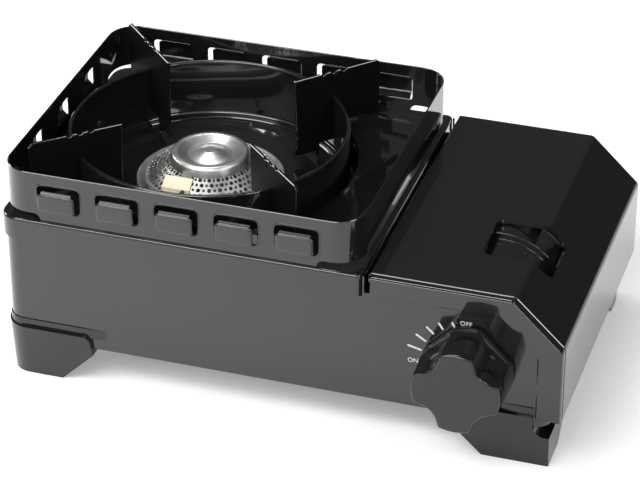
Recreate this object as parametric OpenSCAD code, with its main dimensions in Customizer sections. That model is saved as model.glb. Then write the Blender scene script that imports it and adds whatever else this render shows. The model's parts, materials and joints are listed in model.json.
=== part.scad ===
// Butane cassette stove: one round burner on the left, a can bay under a hinged cover on the right.
// Millimetres, +X to the right, +Y to the back, +Z up. The origin is on the counter, under the middle.

/* [Case] */
// Width over the tray and the can cover
body_w = 286; // [282:1:296]
// Depth of the case, from the front panel to the back edge of the tray
body_d = 164.5; // [162:0.5:172]
// Height of the front panel's lower edge over the counter
foot_h = 20.6; // [17:0.1:24]
// Height of the case, from the panel's lower edge to the top of the can cover
case_h = 70.1; // [69:0.1:74]
// Thickness of the pressed steel sheet
sheet = 0.8; // [0.7:0.05:1]

/* [Windshield] */
// Height of the windshield over the tray
shield_h = 26.3; // [22:0.1:30]
// Louvres in the front and back walls
louvre_count = 5; // [3:1:5]
// Louvres in the left wall
side_count = 3; // [1:1:3]
// Width of a louvre window in the front and back walls
louvre_w = 21.8; // [18:0.1:23]

/* [Trivet] */
// Outer radius of the trivet ring
ring_r = 71.3; // [66:0.1:72]
// How far each fin reaches from the burner's centre
fin_reach = 97.7; // [90:0.1:98]
// Height of the fin tips over the tray
fin_rise = 31.8; // [26:0.1:36]

/* [Burner] */
// Radius of the burner cap
cap_r = 20; // [18:0.2:21]
// Large holes in each row of the flame ring; as many small ones stand between them
flame_holes = 30; // [20:1:32]

/* [Can bay] */
// Width of the can cover
cover_w = 96.6; // [95:0.1:99]
// Radius of the can that the cradle holds
can_r = 33.75; // [33:0.25:34]
// Width of the window over the magnet housing
window_d = 34; // [24:1:36]

/* [Knob] */
// Radius of the knob
knob_r = 22.5; // [19:0.5:23]
// How far the knob stands out from the front panel
knob_len = 26.5; // [20:0.5:30]

/* [Hidden] */

$fn = 64;
eps = 0.01;
big = 400;

// the louvre plates stand out over the tray's edge on the left and at the back
shield_in = 1.8;
louvre_out = 4;
side_out = 3;
over_x = side_out - shield_in;
over_y = louvre_out - shield_in;

// frame: the depth runs from the knob's face to the tray's back edge
depth = body_d + knob_len;
y_panel = knob_len - (depth + over_y)/2;
y_back = (depth - over_y)/2;
x_left = -(body_w - over_x)/2;
x_right = x_left + body_w;
lid_top = foot_h + case_h;
tray_z = lid_top - 0.5;

// tray and windshield
proud = 1.5;
lid_x = x_right - cover_w;
tray_x = lid_x - 2.8;
tray_y = y_panel - proud;
skirt_h = 11.5;
tray_round = 10.5;
tray_corner = 3;
shield_z = tray_z + shield_h;
louvre_top = shield_z - 6.3;
shield_x0 = x_left + shield_in;
shield_x1 = tray_x - shield_in;
shield_y0 = tray_y + shield_in;
shield_y1 = y_back - shield_in;
shield_round = 14.5;
raise_l = 21;
raise_h = 3.8;
louvre_pitch = 30.3;
louvre_h = 13.9;
louvre_gap = 1.4;
side_pitch = 35;
side_w = 15;
side_h = 10.6;

// trivet and burner share one axis
basin_r = ring_r + 3.7;
basin_edge = 1;
basin_out = basin_r + basin_edge;
burner_x = x_left + basin_out + (tray_x - x_left - 2*basin_out)/8.6;
burner_y = y_back - proud - sheet - basin_out;
step_r = basin_r - 15;
screw_ring = step_r - 11;
basin_z = tray_z - 15.4;
ring_top = tray_z + 17.8;
ring_foot = basin_z + 0.2;
fin_t = 1.5;
fin_top = tray_z + fin_rise;
fin_in = 48;
cap_z = basin_z + 18.9;
tube_z = foot_h + 27.4;

// can bay
can_x = x_right - 46;
can_z = foot_h + 34.9;
shell_right = x_right - 6;
slope_x = lid_x + 71.6;
slope_z = lid_top - 24.2;
cover_foot = foot_h + 5.6;
border = 4;
hinge_x = lid_x + 5;
hinge_z = lid_top - 4.2;
hinge_r = 2;
hinge_gap = 0.05;
wall_x = lid_x + 3;

// knob and valve
knob_x = can_x;
knob_z = foot_h + 29.2;
spindle_r = 4;
spindle_gap = 0.05;
shaft_r = 3;
cam_y = y_panel + 5.5;
cam_low = 7;
cam_rise = 3.5;
knob_turn = 95;
plunger_r = 2.5;
valve_y = y_panel + 10.5;

black = "#1b1b1d";
steel = "#b9bcc0";
brass = "#b5964f";
cast = "#8d9093";

// Rounded rectangle between two corners.
module rounded(x0, x1, y0, y1, r) {
  translate([x0 + r, y0]) square([x1 - x0 - 2*r, y1 - y0]);
  translate([x0, y0 + r]) square([x1 - x0, y1 - y0 - 2*r]);
  for (x = [x0 + r, x1 - r]) for (y = [y0 + r, y1 - r]) translate([x, y]) circle(r);
}

// The 2D child, drawn with x = 0 at the outer edge, led round a rectangle with left and right corner radii.
module loop(x0, x1, y0, y1, left, right) {
  centres = [[x1 - right, y1 - right], [x0 + left, y1 - left], [x0 + left, y0 + left],
    [x1 - right, y0 + right]];
  radii = [right, left, left, right];
  for (k = [0:3]) {
    gap = centres[(k + 1) % 4] - centres[k];
    side = k % 2 == 0 ? abs(gap.x) : abs(gap.y);
    translate([centres[k].x, centres[k].y, 0]) {
      rotate(90*k) rotate_extrude(angle = 90) translate([radii[k], 0]) children();
      rotate(90*k + 90) translate([radii[k], side, 0]) rotate([90, 0, 0]) linear_extrude(side) children();
    }
  }
}

// The 2D child stands in XZ and fills y0 to y1.
module xz(y0, y1) {
  translate([0, y1, 0]) rotate([90, 0, 0]) linear_extrude(y1 - y0) children();
}

// The 2D child stands in YZ and fills x0 to x1.
module yz(x0, x1) {
  translate([x0, 0, 0]) rotate([90, 0, 90]) linear_extrude(x1 - x0) children();
}

// Cylinder along +Y from a point.
module rod_y(p, r, l) {
  translate(p) rotate([-90, 0, 0]) cylinder(r = r, h = l);
}

// Cylinder along +X from a point.
module rod_x(p, r, l) {
  translate(p) rotate([0, 90, 0]) cylinder(r = r, h = l);
}

// Bent sheet in section: straight stretches joined by true arcs, t thick about the path.
module strip(pts, radii, t) {
  last = len(pts) - 1;
  cuts = [for (i = [0:last]) i == 0 || i == last ? 0
    : radii[i]*tan(abs(turn(pts[i-1], pts[i], pts[i+1]))/2)];
  for (i = [0:last-1]) {
    d = (pts[i+1] - pts[i])/norm(pts[i+1] - pts[i]);
    translate(pts[i] + d*(cuts[i] - eps)) rotate(atan2(d.y, d.x)) translate([0, -t/2])
      square([norm(pts[i+1] - pts[i]) - cuts[i] - cuts[i+1] + 2*eps, t]);
  }
  for (i = [1:last-1]) {
    d0 = (pts[i] - pts[i-1])/norm(pts[i] - pts[i-1]);
    d1 = (pts[i+1] - pts[i])/norm(pts[i+1] - pts[i]);
    side = sign(turn(pts[i-1], pts[i], pts[i+1]));
    start = pts[i] - d0*cuts[i];
    end = pts[i] + d1*cuts[i];
    centre = start + side*radii[i]*[-d0.y, d0.x];
    intersection() {
      translate(centre) difference() {
        circle(radii[i] + t/2);
        circle(radii[i] - t/2);
      }
      polygon([centre, centre + 2*(start - centre), centre + 2*(pts[i] - centre), centre + 2*(end - centre)]);
    }
  }
}

// Turning angle of a path at its middle point, left is positive.
function turn(a, b, c) = atan2((b-a).x*(c-b).y - (b-a).y*(c-b).x, (b-a)*(c-b));

// Quarter of a ring: the corner of a pressed edge, r to its outside, in the quadrant given by the signs.
module quarter(r, t, sx, sy) {
  intersection() {
    difference() {
      circle(r);
      if (r > t) circle(r - t);
    }
    translate([sx > 0 ? 0 : -r, sy > 0 ? 0 : -r]) square(r);
  }
}

// ---- case ----

shell_y1 = y_back - 1.5;
shell_x0 = x_left + 1.5;
shell_round = 9;

module shell_plan(inset) {
  rounded(shell_x0 + inset, shell_right - inset, y_panel + inset, shell_y1 - inset, shell_round - inset);
}

// Everything over the top edge of the shell on the can side, seen from the front.
module shell_trim() {
  polygon([[lid_x - 0.4, lid_top - 3.6], [slope_x - 0.4, lid_top - 3.6], [shell_right - 3, slope_z + 1.5],
    [shell_right + 4, slope_z + 1.5], [shell_right + 4, lid_top + 10], [lid_x - 0.4, lid_top + 10]]);
  // the cover's left edge swings down past the panel
  translate([lid_x - 1.7, arch_top + 0.3]) square([9, 20]);
  // the tray's skirt passes through on its way round the corner
  translate([tray_x - 1.6, tray_z - skirt_h - 0.3]) square([1.7, skirt_h + 10]);
}

module case_shell() {
  color(black) difference() {
    translate([0, 0, foot_h]) linear_extrude(tray_z - sheet - foot_h) difference() {
      shell_plan(0);
      shell_plan(sheet);
    }
    xz(y_panel - 1, shell_y1 + 1) shell_trim();
    // the right wall is low so that fingers reach the can
    translate([shell_right - 12, y_panel + 16, foot_h + 30]) cube([20, big, big]);
    // the can stands out through the back
    xz(shell_y1 - 12, shell_y1 + 2) {
      translate([can_x, can_z]) circle(can_r + 2.4);
      translate([can_x - can_r - 2.4, can_z]) square([shell_right - can_x + can_r + 6, big]);
    }
    rod_y([knob_x, y_panel - 2, knob_z], 6, 6);
    // air slots, low in the left and back walls
    for (k = [-2:2]) translate([shell_x0 - 2, burner_y - 10 + 20*k, foot_h + 12]) cube([6, 12, 3]);
    for (k = [-2:2]) translate([burner_x - 7 + 24*k, shell_y1 - 4, foot_h + 12]) cube([14, 8, 3]);
  }
}

base_z = foot_h + 0.8;

module base_plate() {
  in = sheet + 0.3;
  color(black) difference() {
    translate([0, 0, base_z]) linear_extrude(7) shell_plan(in);
    translate([0, 0, base_z + sheet]) linear_extrude(8) shell_plan(in + sheet);
    for (k = [-2:1]) for (y = [27, 39, 107, 119])
      translate([burner_x + 24*k + 5, y_panel + y, base_z - 1]) cube([14, 3, 3]);
    // the can's belly and the open back of the bay
    translate([can_x - 14, y_panel + 74, base_z - 1]) cube([28, big, 20]);
    for (p = screw_spots) translate([p.x, p.y, base_z - 1]) cylinder(r = 1.6, h = 4);
  }
}

// ---- feet ----

foot_w = 48.4;
foot_d = 34;
foot_proud = 2.4;
foot_side_out = 1.6;
foot_round = 12.5;
foot_draft = 1.5;
foot_top = foot_h + 7;
foot_in = 17.4;
screw_seat = 10;

// Front outline of a left foot, x from its outer side; the inner end slopes at about 45 degrees.
module foot_front(w, draft) {
  intersection() {
    polygon([[draft, 0], [w - 18, 0], [w - 0.6, foot_in], [w - 2.6, foot_top], [0, foot_top]]);
    union() {
      translate([-1, -1]) square([w - 4.6, foot_top + 2]);
      translate([w - 5.6, -1]) square([big, foot_top - 3.1]);
      translate([w - 5.8, foot_top - 4.1]) circle(4.1);
    }
  }
}

// Side outline: square to the case at the outer end, sloped at the inner end.
module foot_side() {
  polygon([[foot_draft, 0], [foot_d - 12, 0], [foot_d, 12], [foot_d, foot_top], [0, foot_top]]);
}

// A left front foot with its screw hole at hole_x; the others are made from it by mirroring.
// It stands out by side from the case; its corner is a cone that takes up the draft, or sharp where r = 0.
module foot(w, lip_w, hole_x, side = foot_side_out, r = foot_round, draft = foot_draft) {
  difference() {
    union() {
      translate([shell_x0 - side, y_panel - foot_proud, 0]) intersection() {
        xz(-big, big) foot_front(w, draft);
        yz(-big, big) foot_side();
        union() {
          translate([r, 0, 0]) cube([big, big, foot_top]);
          translate([0, r, 0]) cube([big, big, foot_top]);
          if (r > 0) translate([r, r, 0]) cylinder(r1 = r - draft, r2 = r, h = foot_top);
        }
      }
      // thin lip over the foot, the stepped line on the panel
      translate([0, 0, foot_top - 1]) linear_extrude(5.2) intersection() {
        difference() {
          rounded(shell_x0 - 0.45, shell_x0 + big, y_panel - 0.5, y_panel + big, shell_round + 0.4);
          shell_plan(0);
        }
        polygon([[shell_x0 - 2, y_panel - 2], [shell_x0 + lip_w - 14, y_panel - 2],
          [shell_x0 + lip_w - 14, y_panel - 0.5], [shell_x0 + lip_w, y_panel],
          [shell_x0 + lip_w, y_panel + foot_d - 6], [shell_x0 - 2, y_panel + foot_d - 6]]);
      }
    }
    // the case sits down into the foot
    translate([0, 0, foot_h]) linear_extrude(20) shell_plan(0);
    // hollow from above
    translate([shell_x0 + 5, y_panel + 4, 3]) cube([w - 25, foot_d - 20, foot_h]);
    translate([hole_x, foot_y, -1]) cylinder(r = 1.9, h = 40);
    translate([hole_x, foot_y, -1]) cylinder(r = 4, h = screw_seat + 1);
  }
}

foot_y = y_panel + 23;
left_hole = 25.5;
right_hole = 14;
screw_spots = [for (x = [shell_x0 + left_hole, shell_right - right_hole])
  for (y = [foot_y, shell_y1 - 23]) [x, y]];

module to_back() {
  translate([0, y_panel + shell_y1, 0]) mirror([0, 1, 0]) children();
}

module to_right() {
  translate([shell_x0 + shell_right, 0, 0]) mirror([1, 0, 0]) children();
}

module foot_front_left() {
  color(black) foot(foot_w, foot_w + 5, shell_x0 + left_hole);
}

// The right foot has a scoop at its outer end for the fingers that lift the cover.
module foot_front_right() {
  color(black) difference() {
    to_right() foot(foot_w + 2.9, 26, shell_x0 + right_hole, 0.9, 0, 0);
    xz(y_panel - 8, y_panel + foot_d + 2) {
      translate([shell_right - 1.4, foot_h + 2.1]) circle(6);
      translate([shell_right - 7.4, foot_h + 2.1]) square([20, 20]);
      translate([shell_right - 1.4, foot_h - 3.9]) square([20, 20]);
    }
    // room for the knob's rim
    rod_y([knob_x, y_panel - foot_proud - 1, knob_z], knob_r + 0.5, foot_proud + 0.5);
  }
}

module foot_back_left() {
  color(black) to_back() foot(foot_w, foot_w + 5, shell_x0 + left_hole);
}

module foot_back_right() {
  color(black) to_back() to_right() foot(foot_w + 3.6, foot_w + 9, shell_x0 + right_hole);
}

module foot_screws() {
  color(steel) for (p = screw_spots) translate([p.x, p.y, 0]) {
    translate([0, 0, screw_seat - 1.8]) difference() {
      cylinder(r = 3.4, h = 1.8);
      for (q = [0, 90]) rotate(q) translate([-2, -0.4, -1]) cube([4, 0.8, 1.9]);
    }
    translate([0, 0, screw_seat - eps]) cylinder(r = 1.5, h = base_z + 3 - screw_seat);
    translate([0, 0, base_z + sheet]) cylinder(r = 3, h = 2);
  }
}

// ---- tray ----

module tray() {
  edge = 1.5;
  zone = 3;
  color(black) {
    loop(x_left, tray_x, tray_y, y_back, tray_round, tray_corner) {
      translate([-sheet, tray_z - skirt_h]) square([sheet, skirt_h - edge]);
      translate([-edge, tray_z - edge]) quarter(edge, sheet, 1, 1);
      translate([-zone, tray_z - sheet]) square([zone - edge, sheet]);
    }
    translate([0, 0, tray_z - sheet]) linear_extrude(sheet) difference() {
      union() {
        rounded(x_left + zone - eps, tray_x - zone + eps, tray_y + zone - eps, y_back - zone + eps,
          tray_round - zone + eps);
        translate([tray_x - 20, tray_y + zone - eps])
          square([20 - zone + eps, y_back - tray_y - 2*zone + 2*eps]);
      }
      translate([burner_x, burner_y]) circle(basin_out);
    }
    difference() {
      translate([burner_x, burner_y, 0]) rotate_extrude() {
        translate([basin_out, tray_z - basin_edge]) quarter(basin_edge, sheet, -1, 1);
        translate([basin_r, basin_z + 3]) square([sheet, tray_z - basin_edge - basin_z - 3]);
        translate([basin_r + sheet - 3.8, basin_z + 3]) quarter(3.8, sheet, 1, -1);
        translate([step_r, basin_z - sheet]) square([basin_r + sheet - 3.8 - step_r, sheet]);
        polygon([[step_r, basin_z], [step_r, basin_z - sheet], [step_r - 3, basin_z - 2.2 - sheet],
          [step_r - 3, basin_z - 2.2]]);
        translate([36, basin_z - 2.2 - sheet]) square([step_r - 39, sheet]);
        translate([34, basin_z - 2.2 - sheet]) square([2.2, 3]);
      }
      for (a = [22.5:90:360]) translate([burner_x, burner_y, 0]) rotate(a)
        translate([screw_ring, 0, basin_z - 6]) cylinder(r = 1.7, h = 8);
      translate([wire_x, wire_y, basin_z - 6]) cylinder(r = 1.9, h = 8);
    }
    // pips that centre the trivet
    translate([burner_x, burner_y, basin_z - eps]) for (a = [0:90:270]) rotate(a)
      translate([ring_r - 7.8, 0, 0]) cylinder(r1 = 1.6, r2 = 0.9, h = 1.4);
  }
}

module tray_screws() {
  color(steel) for (a = [22.5:90:360]) translate([burner_x, burner_y, basin_z - 2.2]) rotate(a)
    translate([screw_ring, 0, 0]) {
      difference() {
        cylinder(r1 = 3.2, r2 = 2.7, h = 1.6);
        for (q = [0, 90]) rotate(q) translate([-1.8, -0.35, 0.9]) cube([3.6, 0.7, 1]);
      }
      translate([0, 0, -5]) cylinder(r = 1.6, h = 5 + eps);
    }
}

// ---- windshield ----

// Louvre windows of one wall, along +X from the wall's middle, through the sheet at y = 0.
module louvre_windows(count, pitch, w, h) {
  for (k = [0:count-1]) translate([(k - (count - 1)/2)*pitch, 0, 0])
    xz(-1, sheet + 1) rounded(-w/2, w/2, louvre_top - h, louvre_top, 2.4);
}

// The lanced plates: each stays joined at its foot and stands out towards -Y, its upper edge bent back.
module louvre_plates(count, pitch, w, h, deep) {
  foot = louvre_top - h;
  face = foot + 3.2;
  head = louvre_top - 2.6;
  half = w/2 - louvre_gap;
  out = sheet/2 - deep;
  for (k = [0:count-1]) translate([(k - (count - 1)/2)*pitch, 0, 0]) {
    yz(-half, half) strip([[sheet/2, foot - 0.6], [sheet/2, foot + 0.2], [out, face], [out, head - 1.6]],
      [0, 0.6, 1.2, 0], sheet);
    yz(-half + 1.6, half - 1.6)
      strip([[out, head - 1.7], [out, head], [out + 1.6, head + 0.5]], [0, 1, 0], sheet);
    xz(-deep, -deep + sheet) for (x = [-half + 1.6, half - 1.6])
      translate([x, head - 1.6 - eps]) quarter(1.6, 1.6, sign(x), 1);
  }
}

// Places the children on a louvred wall: 0 front, 1 left, 2 back.
module on_wall(k) {
  cx = (shield_x0 + shield_x1)/2;
  cy = (shield_y0 + shield_y1)/2;
  if (k == 0) translate([cx, shield_y0, 0]) children();
  if (k == 1) translate([shield_x0, cy, 0]) rotate(-90) children();
  if (k == 2) translate([cx, shield_y1, 0]) rotate(180) children();
}

// Cut along one wall's lower edge next to a corner, with a round end.
module raised_end() {
  xz(-2, sheet + 2) {
    translate([-1, -1]) square([raise_l - raise_h + 1, raise_h + 1]);
    translate([raise_l - raise_h, 0]) quarter(raise_h, raise_h, 1, 1);
    translate([-1, -1]) square([raise_l + 1, 1]);
  }
}

module windshield() {
  color(black) {
    difference() {
      translate([0, 0, tray_z]) linear_extrude(shield_h) difference() {
        rounded(shield_x0, shield_x1, shield_y0, shield_y1, shield_round);
        rounded(shield_x0 + sheet, shield_x1 - sheet, shield_y0 + sheet, shield_y1 - sheet,
          shield_round - sheet);
      }
      for (k = [0, 2]) on_wall(k) louvre_windows(louvre_count, louvre_pitch, louvre_w, louvre_h);
      on_wall(1) louvre_windows(side_count, side_pitch, side_w, side_h);
      for (q = [[shield_x0, shield_y0, 1, 1], [shield_x1, shield_y0, -1, 1], [shield_x0, shield_y1, 1, -1],
        [shield_x1, shield_y1, -1, -1]])
        translate([q[0], q[1], tray_z]) mirror([q[2] < 0 ? 1 : 0, 0, 0]) mirror([0, q[3] < 0 ? 1 : 0, 0]) {
          translate([-1, -1, -1]) cube([shield_round + 2, shield_round + 2, raise_h + 1]);
          raised_end();
          mirror([1, -1, 0]) raised_end();
        }
    }
    for (k = [0, 2]) on_wall(k) louvre_plates(louvre_count, louvre_pitch, louvre_w, louvre_h, louvre_out);
    on_wall(1) louvre_plates(side_count, side_pitch, side_w, side_h, side_out);
    // feet of the frame, folded inwards on the tray
    for (x = [shield_x0 + 40, shield_x1 - 40]) {
      translate([x - 8, shield_y0 + sheet/2, tray_z]) cube([16, 6, sheet]);
      translate([x - 8, shield_y1 - sheet/2 - 6, tray_z]) cube([16, 6, sheet]);
    }
  }
}

module windshield_rivets() {
  color(steel) for (x = [shield_x0 + 40, shield_x1 - 40]) for (y = [shield_y0 + 4.2, shield_y1 - 4.2])
    translate([x, y, tray_z + sheet]) cylinder(r1 = 2.2, r2 = 1.4, h = 0.9);
}

// ---- trivet ----

slot_z = ring_top - 16;
bead = 1.2;

module trivet_ring() {
  t = sheet;
  color(black) translate([burner_x, burner_y, 0]) difference() {
    rotate_extrude() {
      translate([ring_r - t, ring_foot + 3]) square([t, ring_top - ring_foot - 3 - bead]);
      translate([ring_r - bead, ring_top - bead]) circle(bead);
      translate([ring_r - 3, ring_foot + 3]) quarter(3, t, 1, -1);
      translate([ring_r - 4.8, ring_foot]) square([1.8 + eps, t]);
    }
    for (a = [45:90:315]) rotate(a) translate([ring_r - 5, -fin_t/2 - 0.05, slot_z])
      cube([8, fin_t + 0.1, 30]);
  }
}

// Outline of one fin: x is the distance from the burner's axis. It hooks over the ring in a halving joint.
module fin_outline() {
  difference() {
    polygon([[fin_in, fin_top - 1.2], [fin_reach - 2, fin_top], [fin_reach, fin_top - 2],
      [fin_reach - 1, tray_z + 1.4], [ring_r + 0.1, tray_z + 1.4], [ring_r + 0.1, slot_z + 0.1],
      [ring_r - sheet - 0.1, slot_z + 0.1], [ring_r - sheet - 0.1, basin_z + 7], [step_r + 2.3, basin_z + 7],
      [step_r + 1.6, basin_z + 0.3], [step_r - 0.2, basin_z + 0.3], [step_r - 0.8, basin_z + 2.4],
      [fin_in - 1.2, basin_z + 2.6], [fin_in + 1.2, basin_z + 8.6]]);
    for (x = [-6.9, -1, 4.7]) translate([ring_r + x, fin_top + 0.2]) circle(r = 1.9);
  }
}

module fin(a) {
  color(black) translate([burner_x, burner_y, 0]) rotate(a) xz(-fin_t/2, fin_t/2) fin_outline();
}

module fin_front_left() { fin(225); }
module fin_front_right() { fin(315); }
module fin_back_left() { fin(135); }
module fin_back_right() { fin(45); }

// ---- burner ----

flame_out = 31.6;
flame_foot = cap_z - 13.3;
seat_z = cap_z - 5.2;
flame_t = 0.7;

// Perforated cone with a level flange at its foot and one for the cap at its head.
module flame_ring() {
  slope = atan2(seat_z - flame_foot, flame_out - cap_r);
  run = norm([flame_out - cap_r, seat_z - flame_foot]);
  row_gap = run/5;
  color(steel) translate([burner_x, burner_y, 0]) difference() {
    rotate_extrude() {
      translate([flame_out, flame_foot]) rotate(180 - slope) translate([0, -flame_t]) square([run, flame_t]);
      polygon([[flame_out - 1.4, flame_foot], [flame_out + 1.4, flame_foot],
        [flame_out + 1.4, flame_foot + flame_t], [flame_out - 0.2, flame_foot + flame_t]]);
      polygon([[cap_r - 3, seat_z - flame_t], [cap_r + 0.8, seat_z - flame_t],
        [cap_r + 0.4, seat_z], [cap_r - 3, seat_z]]);
    }
    for (row = [0:4]) {
      r = flame_out - (row + 0.42)*row_gap*cos(slope);
      z = flame_foot + (row + 0.42)*row_gap*sin(slope);
      for (k = [0:2*flame_holes-1]) rotate((k + (row % 2)/2)*180/flame_holes) translate([r, 0, z])
        rotate([0, 90 - slope, 0]) translate([0, 0, -2]) cylinder(r = k % 2 == 0 ? 1 : 0.7, h = 4);
    }
    // window for the igniter
    translate([block_x - 0.4, 0, 0]) yz(0, block_w + 0.8)
      polygon([[-31.8, flame_foot + flame_t + 0.05], [-31.8, cap_z], [0.7 - spark_r, cap_z],
        [0.7 - spark_r, flame_foot + flame_t + 0.05]]);
  }
}

// Stamped cap: a dished middle with a low dome in it, a rounded rim and a straight skirt.
module burner_cap() {
  t = 0.9;
  rim = 2;
  color(steel) translate([burner_x, burner_y, cap_z]) rotate_extrude() {
    polygon([[0, -2 - t], [4, -2.15 - t], [8, -2.6 - t], [10.8, -3.2 - t], [11.7, -3.2 - t],
      [cap_r - 3.2, -t], [cap_r - rim, -t], [cap_r - rim, 0], [cap_r - 3, 0], [cap_r - 3.6, -0.3],
      [11.5, -3.2], [10.8, -3.2], [8, -2.6], [4, -2.15], [0, -2]]);
    translate([cap_r - rim, -rim]) quarter(rim, t, 1, 1);
    translate([cap_r - t, seat_z - cap_z]) square([t, cap_z - seat_z - rim + eps]);
  }
}

// Dished ring that closes the basin's middle round the bowl.
module burner_collar() {
  seat = flame_foot - 1.65;
  color(steel) translate([burner_x, burner_y, 0]) rotate_extrude() polygon([[28.2, seat - 3.65],
    [28.2, seat - 2.85], [33.4, seat - 1.3], [36.6, seat], [37.5, seat], [37.8, seat - 0.3],
    [37.8, basin_z - 2.2], [37, basin_z - 2.2], [37, seat - 0.9], [33.5, seat - 2.1]]);
}

bowl_top = flame_foot;

module burner_bowl() {
  color(cast) difference() {
    union() {
      translate([burner_x, burner_y, 0]) rotate_extrude() {
        polygon([[0, tube_z - 14], [13, tube_z - 14], [15, tube_z - 12], [15, tube_z + 10],
          [24, bowl_top - 9], [27.4, bowl_top - 7], [27.4, bowl_top - 4.4], [33.4, bowl_top - 1.6],
          [33.4, bowl_top], [27, bowl_top], [24.6, bowl_top - 5], [21.6, bowl_top - 7.2], [12, tube_z + 11.6],
          [12, tube_z - 11], [0, tube_z - 11]]);
      }
      at_tube(0) cylinder(r = 10.5, h = 22);
    }
    at_tube(4) cylinder(r = 8.05, h = 40);
    translate([burner_x, burner_y, tube_z - 11]) cylinder(r = 12, h = 22);
  }
}

// The mixing tube runs level from the burner to the regulator; its frame's z leads from the burner.
tube_far = [knob_x - 19, y_panel + 26];
tube_turn = atan2(tube_far.y - burner_y, tube_far.x - burner_x);
tube_len = norm(tube_far - [burner_x, burner_y]);

module at_tube(d) {
  translate([burner_x, burner_y, tube_z]) rotate([0, 90, tube_turn]) translate([0, 0, d]) children();
}

module mixing_tube() {
  mouth = tube_len - 9;
  color(steel) at_tube(0) difference() {
    rotate_extrude() {
      translate([7.2, 12.6]) square([0.8, mouth - 34]);
      polygon([[7.2, mouth - 22], [8, mouth - 22], [6.4, mouth - 12], [5.6, mouth - 12]]);
      polygon([[5.6, mouth - 12.1], [6.4, mouth - 12.1], [9.4, mouth], [8.6, mouth]]);
    }
    // air holes at the throat
    for (a = [0:60:300]) rotate(a) translate([0, 0, mouth - 15]) rotate([0, 90, 0]) translate([0, 0, 3])
      cylinder(r = 1.5, h = 8);
  }
}

module gas_nozzle() {
  color(brass) at_tube(tube_len) difference() {
    union() {
      translate([0, 0, -2.5]) cylinder(r = 3.4, h = 9);
      translate([0, 0, -5.4]) cylinder(r = 5, h = 3, $fn = 6);
      translate([0, 0, -9]) cylinder(r1 = 1.6, r2 = 3, h = 3.7);
    }
    translate([0, 0, -10]) cylinder(r = 0.5, h = 18);
  }
}

// ---- igniter ----

// Sizes of the block are counted from the burner's axis.
block_x = -16.2;
block_w = 14.7;
block_foot = flame_foot + 1.7;
spark_r = cap_r + 1.7;
wire_x = burner_x - 5;
wire_y = burner_y - 44;
wire_r = 1.1;

module electrode_block() {
  color("#e8dcc0") translate([burner_x + block_x, burner_y, 0]) yz(0, block_w)
    polygon([[-spark_r, flame_foot + 7.6], [-27.9, flame_foot + 4], [-27.9, block_foot], [-25.5, block_foot],
      [-spark_r, flame_foot + 4.1]]);
}

// Flat spark tip in front of the cap's skirt.
module electrode_rod() {
  color(steel) translate([burner_x - 6.8, burner_y - spark_r, flame_foot + 4.2]) cube([4.6, 0.6, 7.2]);
}

module electrode_bracket() {
  foot_z = basin_z - 2.2;
  color(steel) translate([burner_x + block_x + 0.8, burner_y, 0]) {
    translate([0, -49, foot_z]) cube([7, 8, sheet]);
    translate([0, -41.8, foot_z]) cube([7, sheet, block_foot - foot_z]);
    translate([0, -41.8, block_foot - sheet]) cube([7, 16.3, sheet]);
  }
}

// Quarter bend about a centre, from the direction a0 turned to the left in its own plane.
module bend(centre, turns, r) {
  translate(centre) rotate(turns) rotate_extrude(angle = 90) translate([r, 0]) circle(wire_r);
}

module igniter_wire() {
  r = 4;
  x0 = wall_x + 1.5;
  x1 = lid_x - 67;
  z0 = knob_z + 3;
  z1 = block_foot + 1.2;
  y0 = cam_y;
  color("#8c1f1a") {
    rod_x([x1 + r, y0, z0], wire_r, x0 - x1 - r);
    bend([x1 + r, y0 + r, z0], [0, 0, 180], r);
    rod_y([x1, y0 + r, z0], wire_r, wire_y - y0 - 2*r);
    bend([x1 - r, wire_y - r, z0], [0, 0, 0], r);
    rod_x([wire_x + r, wire_y, z0], wire_r, x1 - wire_x - 2*r);
    bend([wire_x + r, wire_y, z0 + r], [-90, 90, 0], r);
    translate([wire_x, wire_y, z0 + r]) cylinder(r = wire_r, h = z1 - z0 - 2*r);
    bend([wire_x, wire_y + r, z1 - r], [90, 0, -90], r);
    rod_y([wire_x, wire_y + r, z1], wire_r, burner_y - 28 - wire_y - r);
  }
}

piezo_x = wall_x + 1.8;
plunger_tip = knob_x - cam_low - 0.3;

module piezo_body() {
  color("#33363a") difference() {
    union() {
      translate([piezo_x, cam_y - 4.4, knob_z - 6]) cube([knob_x - 21 - piezo_x, 8.8, 12]);
      translate([piezo_x + 4, cam_y - 4.4, knob_z - 9]) cube([8, 8.8, 18]);
    }
    rod_x([piezo_x + 6, cam_y, knob_z], plunger_r + 0.05, big);
  }
}

module igniter_plunger() {
  color("#c9c9c4") {
    rod_x([piezo_x + 10, cam_y, knob_z], plunger_r, plunger_tip - piezo_x - 12);
    rod_x([plunger_tip - 2.5, cam_y, knob_z], 1.2, 2.5);
  }
}

// ---- regulator, valve and knob ----

head_r = 15;

module regulator_body() {
  color(cast) difference() {
    union() {
      translate([knob_x - 19, valve_y, knob_z - 14]) cube([38, 24, 30]);
      rod_y([can_x, valve_y + 20, can_z], 17, 10);
      translate([knob_x, valve_y + 12, knob_z + 15]) cylinder(r = head_r, h = 8);
      // lug on the base plate
      translate([knob_x - 12, valve_y + 4, base_z + sheet]) cube([24, 14, knob_z - 14 - base_z]);
    }
    rod_y([knob_x, valve_y - 1, knob_z], spindle_r + spindle_gap, 15);
    // passage to the nozzle
    at_tube(tube_len - 2) cylinder(r = 3.45, h = 15);
    rod_y([can_x, valve_y + 22, can_z], 8.05, 9);
  }
}

module diaphragm_cover() {
  color(steel) translate([knob_x, valve_y + 12, knob_z + 23]) {
    cylinder(r = head_r + 2, h = 1.6);
    translate([0, 0, 1.5]) cylinder(r1 = 12, r2 = 9, h = 3.4);
  }
}

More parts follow.
